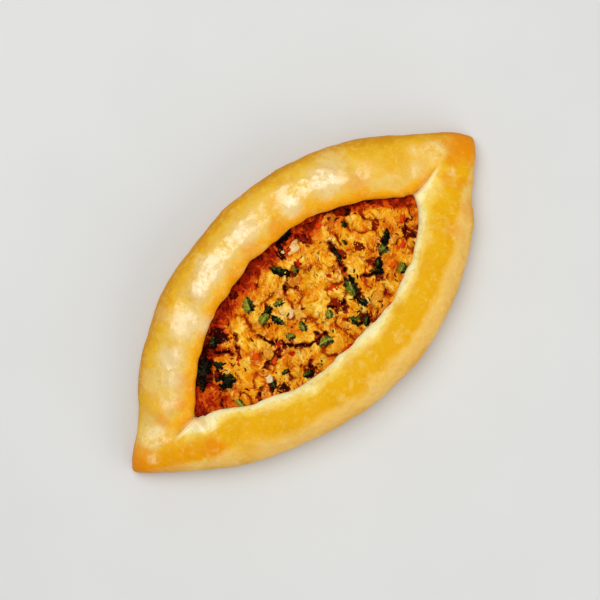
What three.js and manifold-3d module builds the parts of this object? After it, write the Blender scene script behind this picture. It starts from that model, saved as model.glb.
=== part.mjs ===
// A Turkish pide: a boat of bread dough whose long edges are rolled in over a mince filling
// and pinched together into a point at each end.
//
// Millimetres, +Z up. X runs along the boat from one point to the other, Y across it,
// and the origin is the middle of the underside. The bread is one lofted solid: every
// section across the boat has the same points, so neighbouring sections join in quads.
// The filling is a mound that fills the boat, with its lumps and herbs joined on.

import * as THREE from 'three';
import { mergeVertices } from 'three/addons/utils/BufferGeometryUtils.js';
import Module from 'manifold-3d';

// ---- Driving dimensions -------------------------------------------------------------

const breadLength = 229;
const breadWidth = 117.5;
const widestAt = 4.6;          // where along X the boat is widest
const rimHeight = 25;          // crest of the rolled edge, at the middle of the boat
const pointHeight = 8;         // thickness of the pinched points
const pointLift = 1.2;         // how far the points curl off the table
const pointRadius = { left: 2.5, right: 1 };   // rounding of the points, seen from above
const bluntness = 1.6;         // how far past its point the right end's oval would close
const baseThickness = 6;       // dough under the filling

const openingLeft = { x: -75, y: -2.4 };     // the two corners of the opening
const openingRight = { x: 74.3, y: -0.2 };
const openingReach = { upper: 32.8, lower: 30.2 };   // from the line that joins the corners
const openingPeak = { upper: 3.6, lower: 10.6 };     // where along X each side reaches that far
const cornerRamp = 3.2;        // length over which the hollow runs out into each corner

const lipDrop = 6.5;           // crest down to the lip of the roll
const lipUndercut = 1.6;       // how far the roll curls back under its lip
const crestShare = 0.37;       // crest's place between the lip (0) and the outer edge (1)
const seamDepth = { upper: 3.4, lower: 1.9 };  // where the rolls meet; the lower one lies over the other
const seamLength = 20;         // along X, from the corner until the groove has faded
const seamHalfWidth = 0.9;
const pointDome = 0.8;         // the closed point stands this much higher along its middle

const fillingEdge = 14.4;      // height of the filling at its edge, above the table
const fillingCrown = 15.4;     // and at its middle, under its lumps
const lumpPitch = 7.3;         // from one lump of mince to the next
const lumpSize = { least: 7, most: 11 };
const lumpFlatness = 0.62;     // their height for their width
const leafSunk = 0.35;         // how far the herb leaves are pressed into the lumps they lie on
const stepsAcross = 8;         // of the mound under the lumps, from wall to wall
const clearance = 0.4;         // between the filling and the bread, across the boat

const half = breadLength / 2;

// ---- Small helpers ------------------------------------------------------------------

const lerp = THREE.MathUtils.lerp;
const smoothstep = THREE.MathUtils.smoothstep;
const bell = (x, middle, spread) => Math.exp(-(((x - middle) / spread) ** 2));

// A side of a pointed oval: 1 at u = 0, falling to 0 at u = 1.
const bow = (u, power, fullness = 1) =>
  Math.max(0, 1 - Math.abs(u) ** power) ** fullness;

// A repeatable source of numbers from 0 to 1.
function randomFrom(seed) {
  let state = seed;
  return () => {
    state = (state + 0x6d2b79f5) | 0;
    let t = Math.imul(state ^ (state >>> 15), 1 | state);
    t = (t + Math.imul(t ^ (t >>> 7), 61 | t)) ^ t;
    return ((t ^ (t >>> 14)) >>> 0) / 4294967296;
  };
}

// ---- Plan of the boat ---------------------------------------------------------------

// Where a side is drawn in from the oval by the pinching hand: where, how far, and over what length.
const drawnIn = { upper: [[-95, 3.3, 9], [89, 1.1, 9]], lower: [[-104, -1, 8], [96, 0.8, 7]] };

// Half-width of the bread on one side.
function outerEdge(x, name) {
  const fromPoint = half - Math.abs(x);
  const radius = x < 0 ? pointRadius.left : pointRadius.right;
  const reach = x < widestAt ? half + widestAt : half - widestAt + bluntness;
  const uneven = 0.3 * Math.sin(x * 0.13 + (name === 'upper' ? 1 : -1)) * bow(x / half, 2);
  const oval = (breadWidth / 2 - 0.2) * bow((x - widestAt) / reach, 2.25);
  const pulled = drawnIn[name].reduce((sum, [at, deep, wide]) => sum + deep * bell(x, at, wide), 0);
  const closing = Math.min(1, Math.sqrt((fromPoint + 0.3) / 3));
  const rounding = 2 * radius * fromPoint * Math.exp(-fromPoint / 6);
  return Math.hypot((oval - pulled * bow(x / half, 6) + uneven) * closing, Math.sqrt(rounding));
}

// How round each quarter of the opening is, as the power and fullness of its bow.
const openingRoundness = {
  upper: { left: [2.7, 1], right: [2.1, 1] },
  lower: { left: [2.4, 0.95], right: [2.6, 0.75] },
};

// The line down the middle: it joins the opening's corners, and ends at the two points.
function midline(x) {
  if (x < openingLeft.x) {
    return openingLeft.y * smoothstep(x, -half, openingLeft.x);
  }
  if (x > openingRight.x) {
    const wander = 2.2 * bell(x, 92, 10);
    const level = openingRight.y * (1 - smoothstep(x, openingRight.x, 84));
    return level + wander * smoothstep(x, openingRight.x, 90);
  }
  const along = (x - openingLeft.x) / (openingRight.x - openingLeft.x);
  return lerp(openingLeft.y, openingRight.y, along);
}

// How far the opening reaches from the midline, on the side that is named.
function openingHalf(x, name) {
  if (x <= openingLeft.x || x >= openingRight.x) return 0;
  const peak = openingPeak[name];
  const end = x < peak ? openingLeft.x : openingRight.x;
  const [power, fullness] = openingRoundness[name][x < peak ? 'left' : 'right'];
  return openingReach[name] * bow((x - peak) / (end - peak), power, fullness);
}

// 1 over the open filling, and 0 where the two rolls are closed over each other.
function openness(x) {
  const fromCorner = Math.min(x - openingLeft.x, openingRight.x - x);
  return smoothstep(fromCorner, 0, cornerRamp);
}

// How deep the seam is still cut between the closed rolls: 1 at the opening's corner, 0 once it has faded.
function seamCut(x) {
  const past = x < 0 ? openingLeft.x - x : x - openingRight.x;
  return 1 - smoothstep(past, 0, seamLength);
}

// ---- Height of the bread ------------------------------------------------------------

// Pinch marks across a roll: where, how deep, and how wide along X.
const pinches = {
  upper: [[-41, 1.3, 5], [-12, 0.5, 6], [29, 1.2, 5], [63, 0.8, 6], [87, 1.5, 5]],
  lower: [[-69, 1.6, 4], [-30, 0.6, 6], [-8, 0.7, 5], [38, 0.8, 7], [79, 0.7, 6]],
};

function crestHeight(x, name) {
  const along = pointHeight + (rimHeight - pointHeight) * bow(x / (half + 1), 3.2, 0.9);
  const phase = name === 'upper' ? 0.4 : 2.1;
  const uneven = 0.5 * Math.sin(x * 0.085 + phase) + 0.3 * Math.sin(x * 0.21 + phase * 2);
  const pinched = pinches[name].reduce((sum, [at, deep, wide]) => sum + deep * bell(x, at, wide), 0);
  const rounded = Math.sqrt(Math.min(1, (half - Math.abs(x) + 0.1) / 6));
  return (along + (uneven - pinched) * bow(x / half, 4)) * lerp(0.36, 1, rounded);
}

// From a roll's crest down to its inner edge: the lip over the filling, or the line where the rolls meet.
function innerDrop(x, name) {
  const meeting = (crestHeight(x, 'upper') + crestHeight(x, 'lower')) / 2 + pointDome * bow(x / half, 8);
  const closed = lerp(crestHeight(x, name) - meeting, seamDepth[name], seamCut(x));
  return lerp(closed, lipDrop, openness(x));
}

const liftAt = (x) => pointLift * smoothstep(Math.abs(x), 92, half) ** 2;

// ---- Sections of the bread ----------------------------------------------------------

// Stations along X, closer together at the points and at the opening's corners.
function breadStations() {
  const fromPoint = [0, 0.35, 1.1, 2.4, 4.2, 6.8, 10, 13.3, 16.6, 20, 23.4, 26.8];
  const pastCorner = [10, 7.4, 5, 3, 1.5, 0.4, -0.5, -1.4, -2.6, -4.2, -6.6];
  const left = [...fromPoint.map((step) => step - half), ...pastCorner.map((step) => openingLeft.x - step)];
  const right = [...fromPoint.map((step) => half - step), ...pastCorner.map((step) => openingRight.x + step)];
  const middle = [];
  const steps = 27;
  const [from, to] = [left[left.length - 1], right[right.length - 1]];
  for (let i = 1; i < steps; i++) middle.push(lerp(from, to, i / steps));
  return [...left, ...middle, ...right.reverse()];
}

const outerAngles = [0, 13, 27, 41, 55, 68, 80, 90];    // widest point up to the crest
const heelAngles = [-90, -58, -28];                     // underside up to the widest point
const lipAngles = [24, 47, 69, 90];                     // crest down to the inner edge

// One roll at station x, from the underside, over the crest and down to the filling.
function rollSection(x, name) {
  const side = name === 'upper' ? 1 : -1;
  const middle = midline(x);
  const open = openness(x);
  const outer = Math.max(outerEdge(x, name), 0.7);
  const seam = Math.min(seamHalfWidth, outer * 0.4);
  const inner = middle * side + Math.hypot(openingHalf(x, name), seam);
  const top = crestHeight(x, name);
  const lift = liftAt(x);
  const crest = lerp(inner, outer, crestShare);
  const belly = Math.min(7.2, top * 0.42);
  const heel = Math.min(6, (outer - inner) * 0.42);
  const drop = innerDrop(x, name);
  const cut = seamCut(x);
  const points = [];
  const add = (across, z) => points.push([side * across, z + lift]);

  for (const degrees of heelAngles) {
    const a = THREE.MathUtils.degToRad(degrees);
    add(outer - heel + heel * Math.cos(a), belly + belly * Math.sin(a));
  }
  for (const degrees of outerAngles) {
    const a = THREE.MathUtils.degToRad(degrees);
    add(crest + (outer - crest) * Math.cos(a) ** 0.9, belly + (top - belly) * Math.sin(a) ** 0.94);
  }
  // A rolled edge turns down to the vertical. The shut bread beyond the seam is level where its sides meet.
  for (const degrees of lipAngles) {
    const a = THREE.MathUtils.degToRad(degrees);
    const across = lerp(degrees / 90, Math.sin(a), Math.max(open, cut));
    const fall = lerp(smoothstep(degrees / 90, 0, 1), 1 - Math.cos(a), Math.max(open, cut));
    add(lerp(crest, inner, across), top - drop * fall);
  }
  // Under the lip: the wall of the boat where it is open, the groove's flank where it is shut.
  const under = inner - middle * side;
  const groove = top - drop;
  const flank = lerp(under * 0.7, under + lipUndercut * 0.5, open);
  const foot = lerp(under * 0.45, under + lipUndercut, open);
  add(middle * side + flank, lerp(groove - 0.5 * cut, top - lipDrop - 3.2, open));
  add(middle * side + foot, lerp(groove - 0.8 * cut, baseThickness, open));
  return points;
}

// The floor of the boat between its two walls, or the bottom of the groove.
function floorSection(x) {
  const open = openness(x);
  const groove = Math.min(...['upper', 'lower'].map((name) => crestHeight(x, name) - innerDrop(x, name)));
  const z = lerp(groove - 0.9 * seamCut(x), baseThickness, open) + liftAt(x);
  const reach = { upper: openingHalf(x, 'upper'), lower: openingHalf(x, 'lower') };
  const seam = Math.min(seamHalfWidth, outerEdge(x, 'upper') * 0.4) * 0.45;
  return [0.5, 0, -0.5].map((share) => {
    const wide = share > 0 ? reach.upper : reach.lower;
    return [midline(x) + share * lerp(seam, wide, open), z];
  });
}

function breadSection(x) {
  const upper = rollSection(x, 'upper');
  const lower = rollSection(x, 'lower').reverse();
  const left = lower[lower.length - 1];
  const right = upper[0];
  const underside = [0.25, 0.5, 0.75].map((share) => [lerp(left[0], right[0], share), liftAt(x)]);
  return [...upper, ...floorSection(x), ...lower, ...underside];
}

// A closed solid through sections that all have the same number of [y, z] points.
function loft(stations, sectionAt) {
  const rings = stations.map((x) => sectionAt(x).map(([y, z]) => [x, y, z]));
  const around = rings[0].length;
  const positions = rings.flat(2);
  const faces = [];
  for (let ring = 0; ring < rings.length - 1; ring++) {
    for (let i = 0; i < around; i++) {
      const a = ring * around + i;
      const b = ring * around + ((i + 1) % around);
      faces.push(a, b, b + around, a, b + around, a + around);
    }
  }
  // Each end is closed by a fan round its middle.
  for (const [ring, turn] of [[0, -1], [rings.length - 1, 1]]) {
    const middle = [0, 1, 2].map((axis) => rings[ring].reduce((sum, p) => sum + p[axis], 0) / around);
    const hub = positions.length / 3;
    positions.push(...middle);
    for (let i = 0; i < around; i++) {
      const a = ring * around + i;
      const b = ring * around + ((i + 1) % around);
      faces.push(...(turn > 0 ? [a, b, hub] : [b, a, hub]));
    }
  }
  const geometry = new THREE.BufferGeometry();
  geometry.setAttribute('position', new THREE.Float32BufferAttribute(positions, 3));
  geometry.setIndex(faces);
  return geometry;
}

// ---- Filling ------------------------------------------------------------------------

// The rounded heaps of mince, with valleys between them: x, y, radius and height.
const heaps = [
  [-31.7, -0.8, 9.5, 1.8], [-16.7, 17, 9, 1.6], [-46.7, -10, 9, 1.4], [-18.8, -20.8, 8.5, 1.6],
  [-6, -13.6, 7, 1.6], [-37.4, 15, 9, 1], [-64.5, 0.6, 8, 0.6], [18.5, 9.2, 10, 2],
  [7.6, -0.8, 9.5, 1.9], [43.5, 7.8, 11, 1.7], [57, 3, 8, 1.3], [34, 17.5, 8, 1.2],
  [66, -6, 6.5, 1], [25.6, -23, 9, 1.6], [4.9, -24.3, 8, 1.5], [45, -14, 7.5, 1.4],
  [0.9, 20, 7.5, 1.2], [31.3, -6.5, 7, 1.4], [-12, 6.5, 8, 1.8],
];

// Height of the filling's surface: a low mound, and the heaps on it.
function fillingHeight(x, y) {
  const side = y > midline(x) ? 'upper' : 'lower';
  const across = Math.abs(y - midline(x)) / Math.max(openingHalf(x, side), 1);
  const along = Math.abs(x) / 76;
  const mound = bow(Math.min(1, across), 2.2) * bow(Math.min(1, along), 2.6);
  const away = (atX, atY) => (x - atX) ** 2 + (y - atY) ** 2;
  const heaped = heaps.map(([atX, atY, reach, rise]) => rise * (1 - away(atX, atY) / reach ** 2));
  return lerp(fillingEdge, fillingCrown, mound) + Math.max(0, ...heaped) * (0.25 + 0.75 * mound);
}

// Where the wall of the boat stands at height z, from one roll's last three points.
function wallAt(roll, z) {
  const [lip, under, foot] = roll.slice(-3);
  const [low, high] = z < under[1] ? [foot, under] : [under, lip];
  const share = THREE.MathUtils.clamp((z - low[1]) / (high[1] - low[1]), 0, 1);
  return lerp(low[0], high[0], share);
}

// A section of the mound: up one wall, over the surface, down the other and back under it.
function fillingSection(x) {
  const upper = rollSection(x, 'upper');
  const lower = rollSection(x, 'lower');
  const feet = [upper, lower].map((roll) => roll[roll.length - 1][1]);
  const floor = Math.max(floorSection(x)[1][1], ...feet) + clearance;
  const edge = Math.max(fillingEdge - 0.5, floor + 0.6);
  const middle = lerp(floor, edge, 0.5);
  const left = [floor, middle, edge].map((z) => [wallAt(upper, z) - clearance, z]);
  const right = [edge, middle, floor].map((z) => [wallAt(lower, z) + clearance, z]);
  const top = [];
  for (let i = 1; i < stepsAcross; i++) {
    const y = lerp(left[2][0], right[0][0], i / stepsAcross);
    top.push([y, Math.max(fillingHeight(x, y), edge)]);
  }
  const underside = [0.25, 0.5, 0.75].map((share) => [lerp(right[2][0], left[0][0], share), floor]);
  return [...left, ...top, ...right, ...underside];
}

// The filling shares the bread's stations, so that the gap between them is even.
const fillingStations = () => breadStations().filter((x) => openness(x) > 0.3);

// A knobbly lump of mince: a ball whose corners are pushed in and out.
function lump(size, random) {
  const ball = mergeVertices(bare(new THREE.IcosahedronGeometry(size / 2, 0)));
  const at = ball.attributes.position;
  for (let i = 0; i < at.count; i++) {
    const push = 0.84 + 0.34 * random();
    at.setXYZ(i, at.getX(i) * push, at.getY(i) * push, at.getZ(i) * push * lumpFlatness);
  }
  return ball.rotateZ(random() * Math.PI * 2);
}

// A thin wavy leaf, pointed at both ends, with its two faces split into triangles alike.
function leaf(length, width, random) {
  const along = 3;
  const thickness = 0.8;
  const curl = 0.5 + random() * 0.6;
  const positions = [];
  for (const z of [thickness, 0]) {
    for (let i = 0; i <= along; i++) {
      const u = i / along;
      const wide = (width / 2) * (0.22 + 0.78 * Math.sin(Math.PI * Math.min(0.94, u + 0.06)));
      for (const v of [-1, 0, 1]) {
        const wave = curl * Math.sin(u * 5 + v) * 0.5 - curl * 0.4 * (1 - Math.abs(v));
        positions.push((u - 0.5) * length, v * wide, z + wave);
      }
    }
  }
  const faces = [];
  const quad = (a, b, c, d) => faces.push(a, b, c, a, c, d);
  const lower = (along + 1) * 3;
  for (let i = 0; i < along; i++) {
    for (const v of [0, 1]) {
      const a = i * 3 + v;
      quad(a, a + 3, a + 4, a + 1);
      quad(lower + a, lower + a + 1, lower + a + 4, lower + a + 3);
    }
    const [near, far] = [i * 3, i * 3 + 2];
    quad(near, lower + near, lower + near + 3, near + 3);
    quad(far, far + 3, lower + far + 3, lower + far);
  }
  const last = along * 3;
  for (const v of [0, 1]) {
    quad(v, v + 1, lower + v + 1, lower + v);
    quad(last + v, lower + last + v, lower + last + v + 1, last + v + 1);
  }
  const geometry = new THREE.BufferGeometry();
  geometry.setAttribute('position', new THREE.Float32BufferAttribute(positions, 3));
  geometry.setIndex(faces);
  return geometry;
}

// The herb leaves and the pale lumps that show most: x, y, length, width and turn in degrees.
const herbs = [
  [-18.9, 17.2, 7.5, 4.6, 65], [3.1, 19, 8.5, 3.4, -60], [-54.9, 11.3, 8, 4.5, 20],
  [-51.4, -0.7, 7.5, 6, -30], [-18.4, 7.3, 6.5, 3.4, 20], [-13.9, 2.9, 6.5, 2.8, -75],
  [-7.7, -8.1, 5.5, 2.8, 65], [-15.4, -7.2, 4.6, 3, -20], [-3.9, -20.8, 7.8, 3.6, -22],
  [22.6, -9.7, 9.5, 7.5, 60], [21.1, -19.6, 6, 2.6, -75], [45.6, -8, 5, 4.4, 5],
  [50.1, -5.1, 7.5, 2.6, 30], [45.1, -21.1, 5.4, 3.4, 25], [13.1, -23.6, 6, 4, -60],
  [-53.8, -12.2, 7, 2.6, 85], [-20.9, -25.6, 5.5, 3, -20], [36.6, -14.2, 6.5, 2.4, -40],
  [28.1, 4.8, 9, 2.2, 78], [5.4, -12.7, 4.4, 3, 60],
];
const paleLumps = [[-8.2, 3.6, 10], [14.1, 21.7, 8.5], [-36, -14.2, 4.6], [-28.1, -4.7, 7.5], [-3.9, 0.8, 7]];

function bare(geometry) {
  for (const name of ['normal', 'uv']) geometry.deleteAttribute(name);
  return geometry;
}

const wasm = await Module();
wasm.setup();

function solidOf(geometry) {
  const merged = mergeVertices(geometry);
  return new wasm.Manifold(
    new wasm.Mesh({
      numProp: 3,
      vertProperties: new Float32Array(merged.attributes.position.array),
      triVerts: new Uint32Array(merged.index.array),
    }),
  );
}

function geometryOf(solid) {
  const mesh = solid.getMesh();
  const geometry = new THREE.BufferGeometry();
  geometry.setAttribute('position', new THREE.Float32BufferAttribute(mesh.vertProperties, 3));
  geometry.setIndex(new THREE.Uint32BufferAttribute(mesh.triVerts, 1));
  return geometry;
}

// True where a round thing of this size stays inside the opening.
function insideOpening(x, y, size) {
  const room = (at) => openingHalf(at, y > midline(at) ? 'upper' : 'lower') - Math.abs(y - midline(at));
  const reach = size / 2;
  return Math.min(room(x - reach), room(x), room(x + reach)) > reach + 1.5 * clearance;
}

// The first of some sizes that fits inside the opening there.
const sizeThatFits = (x, y, sizes) => sizes.find((size) => insideOpening(x, y, size));

function fillingGeometry() {
  const random = randomFrom(7);
  let filling = solidOf(loft(fillingStations(), fillingSection));
  const placed = [];
  const join = (piece, x, y, z) => {
    filling = filling.add(solidOf(piece.translate(x, y, z)));
  };
  const joinLump = (x, y, size, sunk) => {
    const z = fillingHeight(x, y) - sunk * size;
    placed.push({ x, y, z, size });
    join(lump(size, random), x, y, z);
  };
  // Height of the surface with its lumps, for what lies on them.
  const heightOn = (x, y) => {
    const domes = placed.map((ball) => {
      const away = Math.hypot(x - ball.x, y - ball.y) / (ball.size / 2);
      return ball.z + (ball.size / 2) * lumpFlatness * Math.sqrt(Math.max(0, 1 - away ** 2));
    });
    return Math.max(fillingHeight(x, y), ...domes);
  };
  // Lumps of mince all over it, in rows, each a little out of its place, so that they sit in each other.
  for (let row = -5; row <= 5; row++) {
    for (let column = -12; column <= 12; column++) {
      const x = (column + (row % 2) / 2 + 0.5 * (random() - 0.5)) * lumpPitch;
      const y = (row + 0.5 * (random() - 0.5)) * lumpPitch * 0.86;
      const drawn = lerp(lumpSize.least, lumpSize.most, random());
      const sunk = lerp(-0.02, 0.16, random());
      const size = sizeThatFits(x, y, [drawn, drawn * 0.75, drawn * 0.5]);
      if (size) joinLump(x, y, size, sunk);
    }
  }
  for (const [x, y, size] of paleLumps) {
    if (insideOpening(x, y, size)) joinLump(x, y, size, 0.05);
  }
  for (const [x, y, length, width, turn] of herbs) {
    const tilted = leaf(length, width, random).rotateX((random() - 0.5) * 0.5);
    const turned = tilted.rotateZ(THREE.MathUtils.degToRad(turn));
    if (insideOpening(x, y, length)) join(turned, x, y, heightOn(x, y) - leafSunk);
  }
  const pieces = filling.decompose();
  return geometryOf(pieces.reduce((best, piece) => (piece.volume() > best.volume() ? piece : best)));
}

// ---- The object ---------------------------------------------------------------------

function named(name, geometry, color, roughness) {
  const mesh = new THREE.Mesh(geometry, new THREE.MeshStandardMaterial({ color, roughness, metalness: 0 }));
  mesh.name = name;
  return mesh;
}

const breadGeometry = loft(breadStations(), breadSection);
const pide = new THREE.Group();
pide.add(named('bread_boat', breadGeometry, 0xe9b04a, 0.35));
pide.add(named('mince_filling', fillingGeometry(), 0xcf7a1c, 0.6));

// The origin is the middle of the underside.
breadGeometry.computeBoundingBox();
const box = breadGeometry.boundingBox;
pide.position.set(-(box.min.x + box.max.x) / 2, -(box.min.y + box.max.y) / 2, -box.min.z);

export default pide;
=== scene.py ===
import math
import random

import bpy
import numpy as np
from mathutils import Matrix, Vector, noise
from mathutils.bvhtree import BVHTree


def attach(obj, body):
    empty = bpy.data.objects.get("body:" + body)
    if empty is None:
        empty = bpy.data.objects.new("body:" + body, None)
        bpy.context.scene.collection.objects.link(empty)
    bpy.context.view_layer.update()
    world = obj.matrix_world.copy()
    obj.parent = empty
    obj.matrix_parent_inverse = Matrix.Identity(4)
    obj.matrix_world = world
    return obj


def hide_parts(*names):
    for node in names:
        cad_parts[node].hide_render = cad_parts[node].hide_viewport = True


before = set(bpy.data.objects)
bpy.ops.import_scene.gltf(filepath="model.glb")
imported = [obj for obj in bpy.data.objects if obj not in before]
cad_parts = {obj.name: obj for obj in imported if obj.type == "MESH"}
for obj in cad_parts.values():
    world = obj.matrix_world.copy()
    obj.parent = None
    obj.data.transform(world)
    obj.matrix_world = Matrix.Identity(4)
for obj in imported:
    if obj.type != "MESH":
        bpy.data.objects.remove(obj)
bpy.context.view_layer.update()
mm = 0.001


def deselectAll():
    if bpy.context.mode != "OBJECT":
        bpy.ops.object.mode_set(mode="OBJECT")
    bpy.ops.object.select_all(action="DESELECT")


def pick(thing):
    deselectAll()
    thing.select_set(True)
    bpy.context.view_layer.objects.active = thing


def edit(thing, how="VERT"):  # edit mode with everything selected
    pick(thing)
    bpy.ops.object.mode_set(mode="EDIT")
    bpy.ops.mesh.select_mode(type=how)
    bpy.ops.mesh.select_all(action="SELECT")


def modify(thing, kind, **settings):
    pick(thing)
    bpy.ops.object.modifier_add(type=kind)
    modifier = thing.modifiers[-1]
    for name, value in settings.items():
        setattr(modifier, name, value)
    bpy.ops.object.modifier_apply(modifier=modifier.name)


def relief(thing, group, depth, size, rise):  # unevenness of one size, in mm
    texture = bpy.data.textures.new("relief", "CLOUDS")
    texture.noise_scale = size * mm
    texture.noise_depth = depth
    modify(thing, "DISPLACE", texture=texture, texture_coords="LOCAL", strength=rise * mm, mid_level=0.5,
           vertex_group=group)


def weigh(thing, name, weights):  # a vertex group in ten steps
    group = thing.vertex_groups.new(name=name)
    steps = np.round(np.asarray(weights) * 10)
    for level in range(1, 11):
        group.add(np.nonzero(steps == level)[0].tolist(), level / 10, "REPLACE")


def points(thing):  # in mm, one row for each vertex
    found = np.empty(len(thing.data.vertices) * 3)
    thing.data.vertices.foreach_get("co", found)
    return found.reshape(-1, 3) / mm


def putPoints(thing, found):
    thing.data.vertices.foreach_set("co", (found * mm).astype(np.float32).ravel())
    thing.data.update()


def paint(thing, painted):  # numbers for each vertex, by name, for the material to read
    for name, values in painted.items():
        attribute = thing.data.attributes.new(name, "FLOAT", "POINT")
        attribute.data.foreach_set("value", np.asarray(values, np.float32))


def smooth(thing):
    pick(thing)
    bpy.ops.object.shade_smooth()


def newObject(name, data):
    made = bpy.data.objects.new(name, data)
    bpy.context.scene.collection.objects.link(made)
    return made


def treeOf(thing):
    return BVHTree.FromObject(thing, bpy.context.evaluated_depsgraph_get())


def step(value, start, end):  # 0 before start, 1 after end, smooth between
    share = np.clip((value - start) / (end - start), 0, 1)
    return share * share * (3 - 2 * share)


def bell(value, spread):
    return np.exp(-(value / spread) ** 2)


def alongAndOver(x, y, turn):  # a place measured along and across a direction, in radians
    return x * math.cos(turn) + y * math.sin(turn), y * math.cos(turn) - x * math.sin(turn)


def dress(thing, material, slot, *nodes):
    thing.data.materials.append(material)
    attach(thing, "root")
    if nodes:
        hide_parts(*nodes)
    thing.data.calc_loop_triangles()
    print("dressed", thing.name, "with", len(thing.data.loop_triangles), "triangles")


def tint(*rgb):  # a screen colour, 0 to 255, as the linear numbers that a shader reads
    return tuple(c / 3294.6 if c <= 10 else ((c / 255 + 0.055) / 1.055) ** 2.4 for c in rgb)


class Wire:  # an output socket that can be used in a sum
    def __init__(self, recipe, socket):
        self.recipe = recipe
        self.socket = socket

    def __add__(self, other):
        return self.recipe.maths("ADD", self, other)

    def __sub__(self, other):
        return self.recipe.maths("SUBTRACT", self, other)

    def __rsub__(self, other):
        return self.recipe.maths("SUBTRACT", other, self)

    def __mul__(self, other):
        return self.recipe.maths("MULTIPLY", self, other)

    __radd__ = __add__


class Recipe:  # one material and its nodes
    def __init__(self, name):
        self.material = bpy.data.materials.new(name)
        self.material.use_nodes = True
        self.tree = self.material.node_tree
        self.tree.nodes.clear()
        self.place = self.node("TexCoord", out="Object")

    def node(self, kind, settings=None, sockets=None, out=0):
        made = self.tree.nodes.new("ShaderNode" + kind)
        for name, value in (settings or {}).items():
            if name == "stops":
                self.setStops(made.color_ramp.elements, value)
            else:
                setattr(made, name, value)
        for name, value in (sockets or {}).items():
            if isinstance(value, Wire):
                self.tree.links.new(value.socket, made.inputs[name])
            elif made.inputs[name].type == "RGBA":
                made.inputs[name].default_value = (*value, 1)
            else:
                made.inputs[name].default_value = value
        return Wire(self, made.outputs[out]) if made.outputs else None

    def setStops(self, ramp, stops):
        while len(ramp) < len(stops):
            ramp.new(0.5)
        for stop, (at, colour) in zip(ramp, stops):
            stop.position = at
            stop.color = (*tint(*colour), 1)

    def maths(self, operation, a, b=0):
        return self.node("Math", {"operation": operation}, {0: a, 1: b})

    def fade(self, value, start, end):  # 0 at start, 1 at end, smooth between
        sockets = {"Value": value, "From Min": start, "From Max": end}
        return self.node("MapRange", {"interpolation_type": "SMOOTHSTEP"}, sockets)

    def mixed(self, share, a, b):
        return self.node("Mix", {"data_type": "RGBA"}, {0: share, 6: a, 7: b}, out=2)

    def layers(self, colour, coats):  # coats that each cover what is below where a value fades in
        for value, start, end, strength, coat in coats:
            colour = self.mixed(self.fade(value, start, end) * strength, colour, tint(*coat))
        return colour

    def ramp(self, value, *stops):
        return self.node("ValToRGB", {"stops": stops}, {"Fac": value})

    def height(self):  # above the table, in mm
        return self.node("SeparateXYZ", None, {0: self.place}, "Z") * 1000

    def noise(self, size, detail=3, rough=0.5, twist=0, seed=0):  # size in mm, value round 0
        sockets = {"Vector": self.place, "W": seed, "Scale": 1000 / size, "Detail": detail,
                   "Roughness": rough, "Distortion": twist}
        return self.node("TexNoise", {"noise_dimensions": "4D"}, sockets) - 0.5

    def cells(self, size, seed):
        sockets = {"Vector": self.place, "W": seed, "Scale": 1000 / size}
        return self.node("TexVoronoi", {"voronoi_dimensions": "4D"}, sockets, "Distance")

    def attribute(self, name):
        return self.node("Attribute", {"attribute_name": name}, None, "Fac")

    def spot(self, x, y, size, ragged):  # 1 inside a round patch seen from above, 0 outside it
        flat = self.node("VectorMath", {"operation": "MULTIPLY"}, {0: self.place, 1: (1, 1, 0)})
        sockets = {0: flat, 1: (x * mm, y * mm, 0)}
        away = self.node("VectorMath", {"operation": "DISTANCE"}, sockets, "Value")
        return self.fade(away * 1000 + ragged * (size * 1.5), size, size * 0.35)

    def bump(self, height, strength, depth, over=None):  # depth in mm
        sockets = {"Height": height, "Strength": strength, "Distance": depth * mm}
        if over:
            sockets["Normal"] = over
        return self.node("Bump", None, sockets)

    def finish(self, sockets):
        shader = self.node("BsdfPrincipled", None, sockets)
        self.node("OutputMaterial", None, {"Surface": shader})
        return self.material


# The boat seen from above, in mm: its outline, its opening, and the line down its middle.

plan = {
    "half": 114.5, "halfWidth": 58.55, "widestAt": 4.6, "power": 2.25, "bluntness": 1.6,
    "left": (-75, -2.4), "right": (74.3, -0.2),
    "upper": {"reach": 32.8, "peak": 3.6, "toLeft": (2.7, 1), "toRight": (2.1, 1)},
    "lower": {"reach": 30.2, "peak": 10.6, "toLeft": (2.4, 0.95), "toRight": (2.6, 0.75)},
}


def outerEdge(x):
    toLeft = plan["half"] + plan["widestAt"]
    toRight = plan["half"] - plan["widestAt"] + plan["bluntness"]
    away = (x - plan["widestAt"]) / np.where(x < plan["widestAt"], toLeft, toRight)
    return plan["halfWidth"] * np.clip(1 - np.abs(away) ** plan["power"], 0.02, 1)


def midline(x):
    (leftX, leftY), (rightX, rightY) = plan["left"], plan["right"]
    inside = leftY + (rightY - leftY) * np.clip((x - leftX) / (rightX - leftX), 0, 1)
    beyond = 2.2 * bell(x - 92, 10) * step(x, rightX, 90)
    return inside * (1 - step(np.abs(x), 78, plan["half"])) + beyond


def openingHalf(x, y):  # from the midline to the lip, on the side of y
    found = np.zeros_like(x)
    for side, chosen in (("upper", y > midline(x)), ("lower", y <= midline(x))):
        shape = plan[side]
        for way, corner in (("toLeft", plan["left"]), ("toRight", plan["right"])):
            power, fullness = shape[way]
            away = (x - shape["peak"]) / (corner[0] - shape["peak"])
            curve = shape["reach"] * np.clip(1 - np.clip(away, 0, 1) ** power, 0, 1) ** fullness
            found = np.where(chosen & (away >= 0), curve, found)
    return found


# The bread: the shaped dough, its baked skin and its egg wash.

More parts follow.
